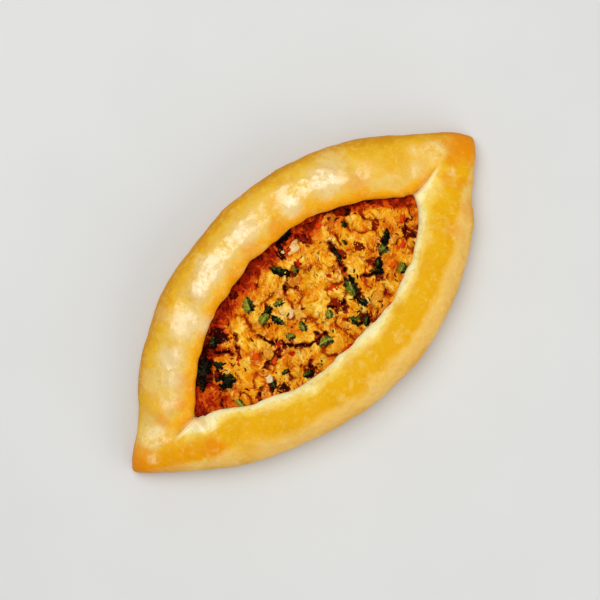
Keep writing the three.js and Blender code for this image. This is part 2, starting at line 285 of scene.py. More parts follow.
bread = {
    "voxel": 0.79,
    "swell": [(24, 1.5), (9, 0.7), (4.2, 0.24)],  # size and height of its unevenness
    "wrinkle": (2.6, 0.42),  # finer and deeper where the skin has puckered
    "dents": [  # x, y, radius along, radius across, turn in degrees, depth, or less than 0 for a rise
        (-39, 38, 5, 8.5, -20, 0.9), (-29, 46, 6, 4.5, 0, 0.3), (22, 42, 5, 8, 12, 0.85),
        (37, 38, 3, 6, 8, 0.5), (-60, 32, 6, 6, 0, 0.5), (-12, 43, 5, 5, 5, 0.35),
        (-49, 27, 8, 5.5, -28, -0.9), (-29, 33, 5, 5, -15, -0.5), (30, 34, 4.5, 5, 10, -0.4),
        (84, 16, 4, 7, -35, 0.6), (79.5, 8, 2.6, 7.5, -32, 0.7),
        (-70.8, -8.2, 1.3, 3.6, -38, 1.7), (-66.5, -9.5, 1.2, 3, -35, 0.7), (-12, -41, 5, 4.5, 0, 0.5),
        (-24, -44, 3.5, 7.5, 15, 0.8), (27, -44, 3.5, 6.5, -8, 0.7), (47, -37, 4, 8, -25, 0.8),
        (-50, -38, 4, 8, 28, 0.8), (79, -19, 3, 6, -30, 0.7), (62, 27, 4, 9, -20, 0.8),
        (4, -43, 6, 4, 0, 0.5), (-92, 12, 3, 5, 30, 0.6),
    ],
    "puckered": [  # x, y, radius
        (-95, 6, 8), (97, -7, 7), (-70, 20, 9), (-52, 36, 10), (-32, 43, 9), (0, 45, 12), (42, 36, 9),
        (95, 8, 9), (-20, -45, 8), (60, -30, 7), (104, 0, 9), (-105, -3, 8),
    ],
    "blisters": 90, "blisterSize": (0.8, 2.3), "lipWander": 1.5,
    "creaseDepth": 0.95, "creaseReach": (20, 15),  # past the +X corner, and past the -X one
    "lipIn": [  # x, spread, how far the lip is drawn in there, and its side: 1 for +Y and -1 for -Y
        (0, 300, 1, 1), (-59, 7, 0.6, 1), (-47, 5, 1, 1), (12, 4, 0.8, 1), (67, 6, 1.2, 1),
        (0, 300, 1.8, -1), (-61, 9, 2.8, -1), (-43, 7, 1.3, -1), (-24, 4, -1, -1), (6, 3, 0.8, -1),
        (43, 6, 1, -1), (57, 6, 1, -1),
    ],
    "sideIn": [  # the same for the outer side
        (-97, 10, 1.9, 1), (-98, 12, 1.2, -1), (-45, 26, 1.8, -1), (95, 9, 1.5, 1), (97, 10, 2.1, -1),
        (50, 12, 1.1, 1),
    ],
    "paleLip": [  # x, y, radius, how much nearer the lower lip's pale colour ends, as a share of the roll; that pale lip is partly paler dough and partly painted light
        (-58, -20, 8, 0.05), (-24, -35, 5, -0.06), (14, -36, 9, -0.07), (-42, -25, 8, -0.03),
        (44, -29, 7, -0.03), (-3, -35, 4, 0.05), (30, -34, 4, 0.04), (82, 7, 5, 0.2),
        (73, 10, 5, 0.2), (64, 17, 5, 0.12), (-73, -7.5, 6, -0.2),
    ],
    # patches of four colours: x, y, size, strength. The pale cream patches are partly pale skin and partly
    # painted sheen of the broad highlight, and the whitish ones are painted highlights where the lamp's
    # reflection misses
    "golden": [
        (-85, 16, 10, 0.8), (80, 19, 8, 0.75), (97, 14, 8, 0.6), (66, 33, 9, 0.3), (-66, -29, 9, 0.5),
        (23, 43, 7, 0.7), (-46, 45, 8, 0.2), (-88, -5, 8, 0.6), (92, -10, 9, 0.5), (37, 31, 5, 0.5),
        (-28, 48, 9, 0.4), (8, 50, 9, 0.3), (72, 22, 11, 0.5), (-60, -26, 7, 0.5), (76, 12, 8, 0.5),
        (90, 12, 10, 0.5), (92, -4, 7, 0.5),
    ],
    "creamAndSheen": [
        (-46, 31, 11, 0.8), (-62, 25, 9, 0.8), (-20, 42, 10, 0.7), (4, 43, 9, 0.7), (49, 34, 11, 0.8),
        (-75, -6, 5, 0.9), (28, 36, 6, 0.8), (-31, 38, 7, 0.6), (84, 7, 6, 0.3), (-40, 26, 7, 0.7),
        (-68, 17, 7, 0.6), (57, 38, 9, 0.4), (-77, 25, 8, 0.35), (-50, 42, 7, 0.3),
    ],
    "paintedGlints": [
        (-95, 5, 8, 0.9), (-91, 5, 5, 0.7), (-102, -2.5, 4, 0.6), (95, 8, 8, 0.6), (94, -5, 3, 0.6),
        (-75, -6, 4.5, 0.8), (-70.5, -11, 4, 0.7), (89, 14, 4, 0.5),
    ],
    "browned": [
        (-78, -18.5, 8, 0.9), (-65, 10.5, 8, 0.45), (-74, 7, 5, 0.6), (-86, 7, 5, 0.5), (-96, -9, 10, 0.5),
        (98, -1, 5, 0.7), (105, 0, 9, 0.8), (88, -23, 7, 0.4), (16, 33, 7, 0.6), (-13, 32, 6, 0.4),
        (-106, 1, 9, 0.6), (93, -12, 5, 0.5), (58, 22, 8, 0.4), (-86, -13, 7, 0.5), (1, 34, 7, 0.4),
        (109, 2, 6, 0.7), (-111, 1, 6, 0.7), (90, -6, 5, 0.5), (75, -25, 6, 0.4),
    ],
    "shine": [  # x, y, radius, how much more or less the egg wash shines there
        (-32, 39, 7, 0.2), (72, 27, 14, -0.9), (90, 11, 13, -0.9), (-95, 6, 7, 0.2), (-77, -7, 6, 0.3),
        (29, 36, 5, 0.2), (-60, 26, 7, -0.3), (22, 44, 5, -0.9), (-50, 44, 7, -0.9), (-49, 29, 8, -0.4),
        (-38, 38, 4, -0.5), (48, 33, 8, 0.1), (0, 42, 6, -0.15), (14, 44, 5, -0.35),
    ],
}


def drawnIn(places, x, side):
    found = np.zeros_like(x)
    for atX, spread, by, way in places:
        found += by * bell(x - atX, spread) * (side == way)
    return found


def drawnLip(x, y):  # how far the lip is drawn in from the plan's
    side = np.sign(y - midline(x))
    return np.minimum(drawnIn(bread["lipIn"], x, side), openingHalf(x, y) * 0.45)


def shapeBread():
    crust = newObject("crust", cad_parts["bread_boat"].data.copy())
    crust.data.name = "crust"
    crust.data.materials.clear()
    edit(crust)
    bpy.ops.mesh.remove_doubles(threshold=0.01 * mm)
    bpy.ops.mesh.tris_convert_to_quads(face_threshold=math.radians(60), shape_threshold=math.radians(60))
    modify(crust, "SUBSURF", levels=1, render_levels=1)
    modify(crust, "REMESH", mode="VOXEL", voxel_size=bread["voxel"] * mm)
    modify(crust, "SMOOTH", factor=0.5, iterations=4)

    found = points(crust)
    x, y, z = found.T
    onTop = step(z, 7, 13)
    # hollows that the shaping hand left
    for atX, atY, along, across, turn, depth in bread["dents"]:
        u, v = alongAndOver(x - atX, y - atY, math.radians(turn))
        z -= depth * bell(u, along) * bell(v, across) * onTop
    # small blisters in the skin
    rng = random.Random(3)
    for _ in range(bread["blisters"]):
        atX = rng.uniform(-108, 108)
        atY = rng.choice((-1, 1)) * float(outerEdge(np.array(atX))) * rng.uniform(0.5, 0.95)
        size = rng.uniform(*bread["blisterSize"]) * rng.uniform(0.6, 1)
        z += 0.22 * size * bell(np.hypot(x - atX, y - atY), size * 0.8) * step(z, 4, 8)
    # the crease where the two rolls meet, past each corner of the opening
    past = np.maximum(plan["left"][0] - x, x - plan["right"][0])
    reach = np.where(x > 0, *bread["creaseReach"])
    creased = step(past, -1.5, 1) * (1 - step(past, reach * 0.5, reach)) * onTop
    aside = y - midline(x)
    z -= bread["creaseDepth"] * bell(aside, 0.7) * creased
    z += 0.5 * bell(aside + 1.7, 0.9) * creased
    # the lips of the opening wander a little, and the sides are drawn in here and there
    half = openingHalf(x, y)
    fromLip = np.abs(aside) - half
    wander = np.array([noise.noise(Vector((a / 9, np.sign(b) * 9, 2.0)))
                       + noise.noise(Vector((a / 4, b / 4, 6.0))) * 0.25 for a, b in zip(x, y)])
    wander = wander * bread["lipWander"] - drawnLip(x, y)
    side = np.sign(aside)
    outward = step(fromLip / np.maximum(outerEdge(x) - half, 3), 0.35, 0.9)
    lipShift = wander * bell(fromLip, 5) * onTop * side * (np.abs(x) < 80)
    y += lipShift - drawnIn(bread["sideIn"], x, side) * side * outward
    putPoints(crust, found)

    lifted = step(z, 0.6, 6)
    weigh(crust, "offTheTable", lifted)
    puckered = 0.6 * step(fromLip, 2, 6) * step(fromLip, 19, 13) * (y > 20) * step(np.abs(x), 72, 58)
    for atX, atY, radius in bread["puckered"]:
        puckered = np.maximum(puckered, bell(np.hypot(x - atX, y - atY), radius))
    weigh(crust, "puckered", puckered * lifted)
    for size, rise in bread["swell"]:
        relief(crust, "offTheTable", 1, size, rise)
    relief(crust, "puckered", 2, *bread["wrinkle"])
    crust.vertex_groups.clear()
    smooth(crust)

    x, y, z = points(crust).T
    aside = y - midline(x)
    inner = openingHalf(x, y) - drawnLip(x, y)
    outer = outerEdge(x) - np.where(aside > 0, midline(x), -midline(x))
    across = np.clip((np.abs(aside) - inner) / np.maximum(outer - inner, 3), 0, 1.2)
    # past the creases there is no lip
    past = np.maximum(plan["left"][0] - x, x - plan["right"][0])
    across = np.maximum(across, 0.24 * step(past, reach * 0.3, reach * 0.8))
    for atX, atY, radius, change in bread["paleLip"]:
        across = np.maximum(across + change * bell(np.hypot(x - atX, y - atY), radius), 0)
    upper = step(aside, -1.5, 1.5)
    point = step(np.abs(x), 84, 113)
    # the egg wash shines on the upper roll and on the lower one's lip
    shine = step(across, 0.1, 0.3) * step(across, 0.85, 0.6) * upper
    shine += step(across, 0.24, 0.08) * 0.4 * (1 - upper) * step(past, 14, 4)
    for atX, atY, radius, change in bread["shine"]:
        shine += change * bell(np.hypot(x - atX, y - atY), radius)
    shine = np.clip(shine, 0, 1.3) * (1 - point)
    paint(crust, {"across": across, "upper": upper, "point": point, "shine": shine, "aside": aside,
                  "creased": creased})
    return crust


def crustMaterial():
    made = Recipe("glazedCrust")
    height = made.height()
    across = made.attribute("across")
    upper = made.attribute("upper")
    point = made.attribute("point")
    broad = made.noise(24, 2, seed=1)
    patchy = made.noise(7, 4, 0.6, 0.3, seed=2.0)
    mottled = made.noise(3, 3, 0.6, 0.4, seed=8.0)
    fine = made.noise(1.5, 4, 0.65, seed=3.0)
    ragged = patchy + mottled * 0.4

    where = across + broad * 0.4 * made.fade(across, 0, 0.3) + ragged * 0.3
    # the lower roll: a cream lip, partly paler dough and partly painted light where it faces the lamp, then
    # golden egg wash, then a paler outer side
    lowerRoll = made.ramp(where, (0, (250, 243, 186)), (0.07, (250, 236, 160)), (0.13, (243, 205, 78)),
                          (0.24, (231, 173, 10)), (0.57, (226, 163, 3)), (0.64, (233, 179, 58)),
                          (0.70, (235, 189, 94)), (0.92, (234, 184, 90)), (1, (222, 164, 56)))
    # the upper roll: orange on its inner side, partly browning and partly painted shade, then gold, then a
    # golden-brown outer edge
    upperRoll = made.ramp(where, (0, (240, 155, 6)), (0.12, (238, 167, 12)), (0.25, (235, 187, 64)),
                          (0.48, (235, 193, 84)), (0.66, (237, 192, 68)), (0.80, (232, 177, 34)),
                          (0.90, (219, 153, 8)), (1, (208, 140, 5)))
    colour = made.mixed(upper, lowerRoll, upperRoll)
    crown = made.fade(across, 0.12, 0.3) * made.fade(across, 0.8, 0.62)
    colour = made.layers(colour, (
        (patchy + broad * 0.6, 0.02, 0.2, crown * 0.55, (230, 165, 16)),  # where the egg wash lies thick
        (patchy - broad * 0.5, 0.06, 0.2, (1 - upper * 0.3) * 0.3, (245, 213, 128)),
        (point + ragged * 1.4, 0.45, 1.05, 0.88, (231, 138, 2)),
    ))
    # the whitish patches are painted highlights, broken into grains
    broken = made.fade(patchy * 0.7 + mottled * 0.5 + fine * 0.3, -0.16, 0.12)
    for kind, shade, part in (("golden", tint(232, 171, 8), 1), ("creamAndSheen", tint(233, 203, 140), 1),
                              ("browned", tint(230, 138, 2), 1), ("paintedGlints", tint(255, 230, 166), broken)):
        for x, y, size, strength in bread[kind]:
            colour = made.mixed(made.spot(x, y, size, ragged) * part * strength, colour, shade)
    # dark mottling is stronger towards the tips and pale mottling weaker
    dark = 0.75 + point
    pale = 1 - point * 0.7
    creased = made.attribute("creased")
    aside = made.attribute("aside") + fine * 0.8
    colour = made.layers(colour, (
        (mottled, 0.03, 0.2, dark * 0.4, (226, 152, 8)),
        (mottled, -0.03, -0.2, pale * 0.24, (247, 216, 124)),
        (fine, -0.04, -0.28, dark * 0.24, (220, 148, 16)),
        (made.cells(2.4, 4), 0.17, 0.05, made.fade(patchy + point * 0.4, 0.08, 0.25) * 0.5, (206, 108, 8)),
        # painted highlight on the pale ridge beside each crease, and painted shade in the thin dark line in
        # it
        (made.maths("ABSOLUTE", aside + 1.5), 1.2, 0.4, creased * 0.8, (255, 236, 178)),
        (made.maths("ABSOLUTE", aside), 0.6, 0.1, made.fade(creased, 0.3, 0.9) * 0.5, (180, 124, 40)),
        (fine, 0, 0.3, pale * 0.17, (252, 224, 146)),
        (height + patchy * 4, 3.6, 1, 0.7, (214, 146, 60)),  # the foot that stood on the tray
    ))
    # the floury scorched underside
    scorched = made.fade(made.noise(10, 3, 0.6, seed=6.0), -0.02, 0.2)
    underside = made.mixed(scorched, tint(226, 180, 116), tint(150, 92, 40))
    colour = made.mixed(made.fade(height, 0.9, 0.3), colour, underside)

    washed = made.attribute("shine") * made.fade(patchy + mottled * 0.8 + fine * 0.4, -0.2, 0.16)
    roughness = 0.5 + patchy * 0.2 + fine * 0.15
    skin = made.bump(made.noise(3.4, 3, 0.6, 0.8, seed=7.0), 0.8, 0.7)
    skin = made.bump(made.noise(1.2, 4, 0.7, 0.6, seed=5.0), 0.8, 0.28, skin)
    return made.finish({"Base Color": colour, "Roughness": roughness, "Coat Weight": washed, "Normal": skin,
                        "Coat Roughness": 0.25, "Coat IOR": 2.15, "Specular IOR Level": 0.05})


# The filling: a bed of mince heaped in the boat.

filling = {
    "columns": 400, "rows": 172, "from": -73.6, "to": 72.9, "foot": 9, "wallGap": 0.06,
    "edge": 14.4, "crown": 15.4,
    "heaps": [  # x, y, radius, height
        (-31.7, -0.8, 9.5, 1.8), (-16.7, 17, 9, 1.6), (-46.7, -10, 9, 1.4), (-18.8, -20.8, 8.5, 1.6),
        (-6, -13.6, 7, 1.6), (-37.4, 15, 9, 1), (-64.5, 0.6, 8, 0.6), (18.5, 9.2, 10, 2),
        (7.6, -0.8, 9.5, 1.9), (43.5, 7.8, 11, 1.7), (57, 3, 8, 1.3), (34, 17.5, 8, 1.2),
        (66, -6, 6.5, 1), (25.6, -23, 9, 1.6), (4.9, -24.3, 8, 1.5), (45, -14, 7.5, 1.4),
        (0.9, 20, 7.5, 1.2), (31.3, -6.5, 7, 1.4), (-12, 6.5, 8, 1.8),
    ],
    "cracks": [  # the deep gaps between the heaps, painted dark with shade, as the places each one passes
        [(-33, 12), (-36, 8.5), (-39.5, 3)], [(-25.6, 4), (-23.5, -1), (-21, -6)],
        [(-21, -6), (-16.5, -12), (-12, -15.5), (-8, -17)], [(-8, -17), (-2, -17.5)],
        [(-29, -8.5), (-25, -9.5), (-21, -6)], [(7.4, -9.4), (12, -13.2), (16, -12.8), (19.5, -9.5)],
        [(30, -10.5), (33, -12.5), (37.5, -15), (41, -11)], [(41, -11), (46, -7), (51, -4.2)],
        [(28.8, 12.3), (28, 5), (24.8, -2.5)], [(19.5, -15), (21.5, -20)], [(-60, 8), (-57, 2), (-55, -3)],
        [(10, -19.5), (13, -24), (16, -27.5)], [(-6, 9.5), (2, 12), (8, 16)],
        [(-48, 16), (-43, 10), (-40, 7)],
    ],
    "pits": [  # x, y, radius: hollows painted dark with shade and dark juices
        (-50, 16, 7), (-39, 18, 5), (-58, 7, 5), (-20.5, 26.5, 3.2), (5, 31, 2.6), (16, 29.5, 4.6),
        (28, 24, 3), (-37.5, -17, 2.6), (-34, -22, 3.2), (-30, -8.5, 3.6), (-23, -8, 3), (12, -12.5, 4),
        (22, -14, 3.4), (36, -12.5, 4.2), (48, -6.5, 3.6), (17, -26.5, 4), (-19, -26, 3.6), (66, 9, 3),
        (57, 15, 3.2), (3, 9, 2.8), (-15, 8, 2.6), (10, 14.5, 3), (43, 20, 4), (60, -12, 3), (-6, -17, 3),
        (29, -24, 2.6), (-45, -17, 2.6), (30, 4, 2.4), (51, 2, 2.2), (38, 0, 2), (-52, 4, 3.6), (9, 24, 3),
        (22, 21, 3.4),
    ],
    "billows": [(11.5, 1.8, 0.9), (5.5, 0.6, 0.3), (2.6, 0.08, 0)],  # lumps: size, height, painted shade between
    "pitDepth": 1.1, "crackDepth": 1.9, "fibreRise": 0.15, "clumps": 45, "clumpSize": (1.8, 5),
    "warpSeed": 3, "halfWidth": 33,
}


def lowRelief(x, y):  # the mound and its heaps
    across = np.clip(np.abs(y - midline(x)) / np.maximum(openingHalf(x, y), 1), 0, 1)
    mound = (1 - across ** 2.2) * (1 - np.clip(np.abs(x) / 76, 0, 1) ** 2.6)
    heaped = np.zeros_like(x)
    for atX, atY, radius, rise in filling["heaps"]:
        heaped = np.maximum(heaped, rise * (1 - ((x - atX) ** 2 + (y - atY) ** 2) / radius ** 2))
    return filling["edge"] + (filling["crown"] - filling["edge"]) * mound + heaped * (0.25 + 0.75 * mound)


def fromPath(x, y, path):  # distance from a line through some places
    nearest = np.full_like(x, 1e9)
    for (ax, ay), (bx, by) in zip(path, path[1:]):
        along = ((x - ax) * (bx - ax) + (y - ay) * (by - ay)) / ((bx - ax) ** 2 + (by - ay) ** 2)
        along = np.clip(along, 0, 1)
        nearest = np.minimum(nearest, np.hypot(x - ax - along * (bx - ax), y - ay - along * (by - ay)))
    return nearest


class Pattern:  # seeded patterns in one square table that repeats, 0.3 mm a cell
    cell = 0.3
    cells = 512

    def __init__(self):
        wave = np.fft.fftfreq(self.cells, self.cell)
        self.waves = np.hypot(wave[:, None], wave[None, :])

    def cloud(self, size, seed):  # smooth blobs of one size in mm, round 0 with a spread of 1
        white = np.random.default_rng(seed).standard_normal((self.cells, self.cells))
        found = np.fft.ifft2(np.fft.fft2(white) * np.exp(-(self.waves * size * 1.2) ** 2)).real
        return found / found.std()

    def fibres(self, length, turn, seed):  # streaks of one length in mm that follow turn, in radians
        grain = self.cloud(0.45, seed)
        i, j = np.indices(grain.shape)
        found = np.zeros_like(grain)
        reach = int(length / self.cell / 2)
        for away in range(-reach, reach + 1):
            atI = (i + np.cos(turn) * away).round().astype(int) % self.cells
            atJ = (j + np.sin(turn) * away).round().astype(int) % self.cells
            found += grain[atI, atJ]
        return found / found.std()

    def read(self, table, x, y):
        i = x / self.cell
        j = y / self.cell
        i0 = np.floor(i).astype(int)
        j0 = np.floor(j).astype(int)
        u = i - i0
        v = j - j0
        a, b = i0 % self.cells, (i0 + 1) % self.cells
        c, d = j0 % self.cells, (j0 + 1) % self.cells
        near = table[a, c] * (1 - u) + table[b, c] * u
        far = table[a, d] * (1 - u) + table[b, d] * u
        return near * (1 - v) + far * v

    def cloudAt(self, size, seed, x, y):
        return self.read(self.cloud(size, seed), x, y)


def wallsOf(crustTree):  # where the boat's walls stand at the filling's height, along X
    xs = np.linspace(filling["from"], filling["to"], filling["columns"] + 1)
    low = np.empty_like(xs)
    high = np.empty_like(xs)
    for i, x in enumerate(xs):
        middle = float(midline(x))
        for ends, way in ((low, -1), (high, 1)):
            reach = float(openingHalf(np.array(x), np.array(middle + way))) + 0.9
            hit = crustTree.ray_cast(Vector((x, middle, filling["edge"] + 0.6)) * mm, Vector((0, way, 0)))[0]
            if hit:
                reach = min(reach, abs(hit.y / mm - middle))
            ends[i] = middle + way * max(0.3, reach - filling["wallGap"])
    return xs, low, high


def wallShadeAndJuice(x, y, high):  # painted shade where the +Y wall's shadow falls, with dark juices, and dark juices at both ends
    wide = 11.5 + 4 * step(x, -20, -50) + 4 * bell(x - 14, 15) - 4 * bell(x - 46, 14)
    return np.maximum(step(high - y, wide, 0), step(x, -42, -66) * 0.55 + step(x, 58, 72) * 0.2)


def shapeFilling(walls):
    xs, low, high = walls
    deselectAll()
    bpy.ops.mesh.primitive_grid_add(x_subdivisions=filling["columns"], y_subdivisions=filling["rows"], size=1)
    core = bpy.context.object
    core.name = "minceCore"
    core.data.name = "minceCore"
    unit = points(core) * mm
    count = len(unit)
    column = np.round((unit[:, 0] + 0.5) * (len(xs) - 1)).astype(int)
    row = np.round((unit[:, 1] + 0.5) * filling["rows"]).astype(int)
    # each column of the grid is fitted between the walls of the boat
    x = xs[column]
    y = low[column] + (unit[:, 1] + 0.5) * (high[column] - low[column])
    z = lowRelief(x, y)
    noise.seed_set(filling["warpSeed"])  # noise_vector starts from the clock without it
    warp = np.array([noise.noise_vector(Vector((a * 0.3, b * 0.3, 0.0))) * 1.3
                     + noise.noise_vector(Vector((a * 0.9, b * 0.9, 7.0))) * 0.45 for a, b in zip(x, y)])
    wx = x + warp[:, 0]
    wy = y + warp[:, 1]
    pattern = Pattern()
    # rounded lumps with winding creases between them, in three sizes
    crease = np.zeros_like(x)
    for seed, (size, rise, darkness) in enumerate(filling["billows"]):
        blob = pattern.cloudAt(size, 100 + seed, wx, wy)
        z += rise * (np.abs(blob) ** 0.8 - 0.75)
        some = step(pattern.cloudAt(12, 110 + seed, x, y), 0.1, 1.3)
        # painted shade in the creases between the lumps
        crease = np.maximum(crease, bell(blob, 0.13) * some * darkness)
    # torn meat lies in streaks that all turn the same way over a few millimetres
    turn = 1 + pattern.cloud(8, 120) * 0.7
    streak = pattern.read(pattern.fibres(3.6, turn, 121), x, y)
    dash = pattern.read(pattern.fibres(2.8, turn + 0.3, 122), x, y)
    some = step(pattern.cloudAt(10, 125, x, y), -0.5, 0.8)
    dash = step(dash, 0.85, 1.7) * (0.25 + 0.75 * some)
    tone = 0.5 + 0.13 * pattern.cloudAt(8, 123, wx, wy)
    tone += 0.08 * pattern.cloudAt(3.5, 124, wx, wy)
    z += streak * filling["fibreRise"]
    ragged = pattern.cloudAt(2.8, 126, x, y) * 0.22 + pattern.cloudAt(1.2, 127, x, y) * 0.12
    pit = np.zeros_like(x)
    for atX, atY, radius in filling["pits"]:
        along, over = alongAndOver(wx - atX, wy - atY, (atX * 1.7 + atY) % math.pi)
        pit = np.maximum(pit, step(np.hypot(along / 1.4, over * 1.3) / radius + ragged, 1.15, 0.45))
    z -= pit * filling["pitDepth"]

    rng = random.Random(21)
    smallest, largest = filling["clumpSize"]
    for _ in range(filling["clumps"]):  # single lumps that lie on the heap
        i = rng.randrange(count)
        radius = smallest + (largest - smallest) * rng.random() ** 2
        lean = rng.uniform(0, math.pi)
        near = np.nonzero(np.hypot(x - x[i], y - y[i]) < radius * 1.5)[0]
        along, over = alongAndOver(wx[near] - wx[i], wy[near] - wy[i], lean)
        away = np.sqrt((along / radius) ** 2 + (over / (radius * rng.uniform(0.55, 0.9))) ** 2)
        inside = step(away, 1, 0.55)
        z[near] += inside * radius * rng.uniform(0.16, 0.28)
        tone[near] += inside * rng.uniform(-0.1, 0.2)
    gap = np.zeros_like(x)
    broken = step(pattern.cloudAt(3, 130, x, y), -1.6, 0.4)
    for path in filling["cracks"]:
        gap = np.maximum(gap, bell(fromPath(wx, wy, path), 0.7 + 0.5 * broken) * (0.35 + 0.65 * broken))
    z -= gap * filling["crackDepth"]
    nearWall = np.minimum(y - low[column], high[column] - y)
    z -= np.where(y > midline(x), 0.45, 0.15) * np.exp(-np.clip(nearWall, 0, None) / 0.7)
    putPoints(core, np.column_stack((x, y, z)))

    # walls down into the boat, and a floor under it all
    edit(core, "EDGE")
    bpy.ops.mesh.select_all(action="DESELECT")
    bpy.ops.mesh.select_non_manifold()
    bpy.ops.mesh.extrude_edges_move()
    bpy.ops.object.mode_set(mode="OBJECT")
    found = points(core)
    found[count:, 2] = filling["foot"]
    putPoints(core, found)
    bpy.ops.object.mode_set(mode="EDIT")
    bpy.ops.mesh.edge_face_add()
    bpy.ops.mesh.poke()
    bpy.ops.mesh.select_all(action="SELECT")
    bpy.ops.mesh.normals_make_consistent(inside=False)
    smooth(core)

    # how far each place stands above what is round it; the mince's colour uses it for painted light on high
    # places and painted shade in low ones
    grid = np.empty((filling["rows"] + 1, len(xs)), int)
    grid[row, column] = np.arange(count)
    level = z[grid]
    averages = []
    around = level
    for passes in (7, 160):
        for _ in range(passes):
            wide = np.pad(around, 1, mode="edge")
            around = (wide[:-2, 1:-1] + wide[2:, 1:-1] + wide[1:-1, :-2] + wide[1:-1, 2:] + around) / 5
        averages.append(around)
    fine = np.empty(count)
    fine[grid] = level - averages[0]
    raised = np.empty(count)
    raised[grid] = level - averages[1]
    extra = len(core.data.vertices) - count
    painted = {  # on the top, and the one value for the walls and the floor
        "fine": (fine, 0), "raised": (raised, -1), "tone": (tone, 0.3), "streak": (streak, 0),
        "dash": (dash, 0), "gap": (np.maximum(gap, crease), 0), "pit": (pit, 0),
        "shaded": (wallShadeAndJuice(x, y, high[column]), 1),
    }
    paint(core, {name: np.append(top, np.full(extra, below)) for name, (top, below) in painted.items()})
    print("filling from", round(z.min(), 2), "to", round(z.max(), 2), "mm")
    return core


def minceMaterial():
    made = Recipe("spicedMince")
    broad = made.noise(15, 2, seed=11)
    patchy = made.noise(3.4, 4, 0.6, seed=12.0)
    grain = made.noise(0.9, 3, 0.7, seed=13.0)
    streak = made.attribute("streak")
    raised = made.attribute("raised")
    # the mince's own tone, with painted light making the high places yellower
    warm = made.attribute("tone") + broad * 0.6 + streak * 0.11 + patchy * 0.3 + raised * 0.13 - 0.02
    warm += made.spot(3, 0, 42, broad) * 0.06 + made.spot(5, 2, 14, patchy) * 0.17
    warm += made.spot(-22, 1, 9, patchy) * 0.1 + made.spot(48, 10, 12, patchy) * 0.1
    meat = made.ramp(warm, (0, (176, 60, 2)), (0.2, (208, 98, 3)), (0.4, (228, 132, 5)),
                     (0.6, (236, 158, 14)), (0.8, (244, 184, 44)), (1, (250, 212, 104)))
    fine = made.attribute("fine") + grain * 0.1
    cloudy = made.noise(4.5, 3, 0.6, 0.5, seed=18)
    shaded = made.attribute("shaded")
    juiceAndShade = shaded * 1.2 + patchy * 1.6 + broad * 0.4 + cloudy * 0.5 + streak * 0.12 - raised * 0.1
    torn = cloudy * 1.4 + grain * 1.1 + streak * 0.1
    pitShade = made.attribute("pit") + cloudy * 0.9 + streak * 0.12
    gap = made.attribute("gap") + patchy * 0.6
    meat = made.layers(meat, (
        (fine, 0.08, 0.34, 0.45, (253, 212, 96)),  # painted light on the crests of the fibres
        (fine, -0.08, -0.34, 0.42, (176, 62, 3)),  # painted shade in the redder furrows between them
        (made.noise(4, 3, 0.6, seed=19) + streak * 0.02, 0.06, 0.2, 0.55, (208, 164, 54)),
        # juices, with painted shade along the +Y wall: red-orange at their edges, then dark red, and nearly
        # black painted shade in the hollows, with dark juices
        (made.noise(3.6, seed=15) + broad * 0.4 + streak * 0.02, 0.1, 0.2, 0.7, (198, 52, 3)),
        (juiceAndShade, 0.05, 0.5, 0.9, (206, 74, 2)),
        (juiceAndShade + torn * 1.4, 0.55, 0.9, 0.9, (152, 16, 6)),
        (juiceAndShade + torn * 2 - patchy * 1.4, 1.25, 1.6, 0.92, (32, 2, 3)),
        (pitShade, 0.12, 0.55, 0.9, (150, 32, 2)),
        (pitShade + shaded * 0.3, 0.6, 0.95, 0.96, (22, 2, 2)),
    ))
    meat = made.mixed(made.attribute("dash") * 0.95, meat, tint(60, 8, 2))
    meat = made.layers(meat, (
        # painted shade: darker red in the low places
        (raised + patchy * 0.8, -0.35, -1.2, 0.85, (150, 36, 3)),
        # painted shade, nearly black, in the cracks and the creases between the lumps
        (gap, 0.15, 0.5, 0.8, (146, 32, 3)),
        (gap, 0.5, 0.85, 0.95, (22, 2, 2)),
    ))
    skin = made.bump(made.noise(0.7, 3, 0.7, seed=14.0), 0.5, 0.15)
    oily = made.fade(made.noise(5, 3, seed=17.0) + raised * 0.1 - shaded * 0.4, 0.02, 0.15) * 0.22
    return made.finish({"Base Color": meat, "Roughness": 0.45 + grain * 0.3, "Normal": skin,
                        "Coat Weight": oily, "Coat Roughness": 0.14, "Specular IOR Level": 0.03})


# What is scattered on the filling. Each kind is one mesh of many copies.

